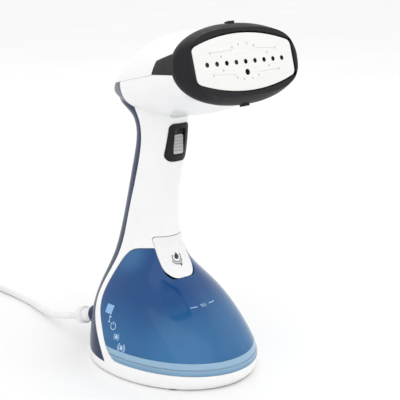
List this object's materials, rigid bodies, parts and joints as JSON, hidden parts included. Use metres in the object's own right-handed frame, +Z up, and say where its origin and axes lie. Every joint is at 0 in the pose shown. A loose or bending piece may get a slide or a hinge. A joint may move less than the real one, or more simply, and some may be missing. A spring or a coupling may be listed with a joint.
{
  "type": "handheld garment steamer",
  "caption": "Upright handheld garment steamer with clear front water tank, oval steam head, thumb trigger, fill flap and mains cord.",
  "frame": {"origin": "under the middle of the steamer's bounding box, without its cord, on the surface it stands on", "axes": "+Z up; the steam plate faces -Y; +X to the left-hand side of someone who faces the plate from the front"},
  "size_m": [0.1978, 0.44, 0.3013],
  "materials": {
    "white_shell": "satin moulded",
    "navy_shell": "satin moulded",
    "tank_blue": "clear tinted, glossy",
    "band_blue": "clear tinted, glossy",
    "flap_white": "satin moulded",
    "bezel_black": "fine grained",
    "plate_steel": "satin, fine brushed",
    "trigger_grey": "fine grained",
    "lens_clear": "frosted",
    "lamp": "clear",
    "inner_plastic": "moulded",
    "rubber_dark": "matte",
    "rubber_soft": "translucent silicone",
    "chamber_aluminium": "as cast",
    "steel": "plain",
    "element_steel": "oxidised",
    "fuse_body": "plain",
    "pump_winding": "potted",
    "board_green": "lacquered",
    "board_black": "moulded",
    "wire_sleeve": "glass fibre sleeve",
    "cord_white": "satin PVC",
    "plug_white": "satin",
    "pin_brass": "plain"
  },
  "bodies": {
    "housing": {"base_deck": "white_shell", "rear_housing": "white_shell", "handle_shell": "white_shell", "head_lower_shell": "white_shell", "head_top_cover": "white_shell", "spine_cover": "navy_shell", "nozzle_bezel": "bezel_black", "trigger_bezel": "bezel_black", "steam_plate": "plate_steel", "indicator_lens": "lens_clear", "indicator_lamp": "lamp", "base_plate": "inner_plastic", "switch_holder": "inner_plastic", "microswitch": "inner_plastic", "terminal_block": "inner_plastic", "chamber_mount": "inner_plastic", "rubber_feet": "rubber_dark", "outlet_seal": "rubber_soft", "plate_gasket": "rubber_soft", "pump_rubbers": "rubber_soft", "inlet_tube": "rubber_soft", "steam_feed_tube": "rubber_soft", "steam_chamber": "chamber_aluminium", "chamber_lid": "chamber_aluminium", "base_screws": "steel", "chamber_screws": "steel", "trigger_pin": "steel", "trigger_spring": "steel", "pump_core": "steel", "pump_bracket": "steel", "thermostat": "steel", "heating_element": "element_steel", "thermal_fuse": "fuse_body", "pump_coil": "pump_winding", "control_board": "board_green", "board_parts": "board_black", "heater_wires": "wire_sleeve", "strain_relief": "cord_white", "mains_cord": "cord_white", "mains_cord_tail": "cord_white", "cord_coil": "cord_white", "cord_inside": "cord_white", "plug_body": "plug_white", "plug_pins": "pin_brass"},
    "tank": {"water_tank": "tank_blue", "tank_foot_band": "band_blue", "tank_filter": "inner_plastic", "suction_pipe": "inner_plastic", "flap_pin": "steel"},
    "flap": {"fill_flap": "flap_white", "fill_gasket": "rubber_soft"},
    "trigger": {"trigger": "trigger_grey"}
  },
  "joints": [
    {"name": "tank_slide", "type": "slide", "parent": "housing", "child": "tank", "axis": [0, -1, 0], "range_m": [0, 0.13]},
    {"name": "flap_hinge", "type": "hinge", "parent": "tank", "child": "flap", "pos_m": [0, 0.004, 0.0825], "axis": [1, 0, 0], "range_deg": [0, 70]},
    {"name": "trigger_press", "type": "hinge", "parent": "housing", "child": "trigger", "pos_m": [0, 0.009, 0.1895], "axis": [-1, 0, 0], "range_deg": [0, 8], "stiffness_Nm_per_rad": 0.25, "springref_deg": -11.46, "deforming": ["trigger_spring"]}
  ]
}
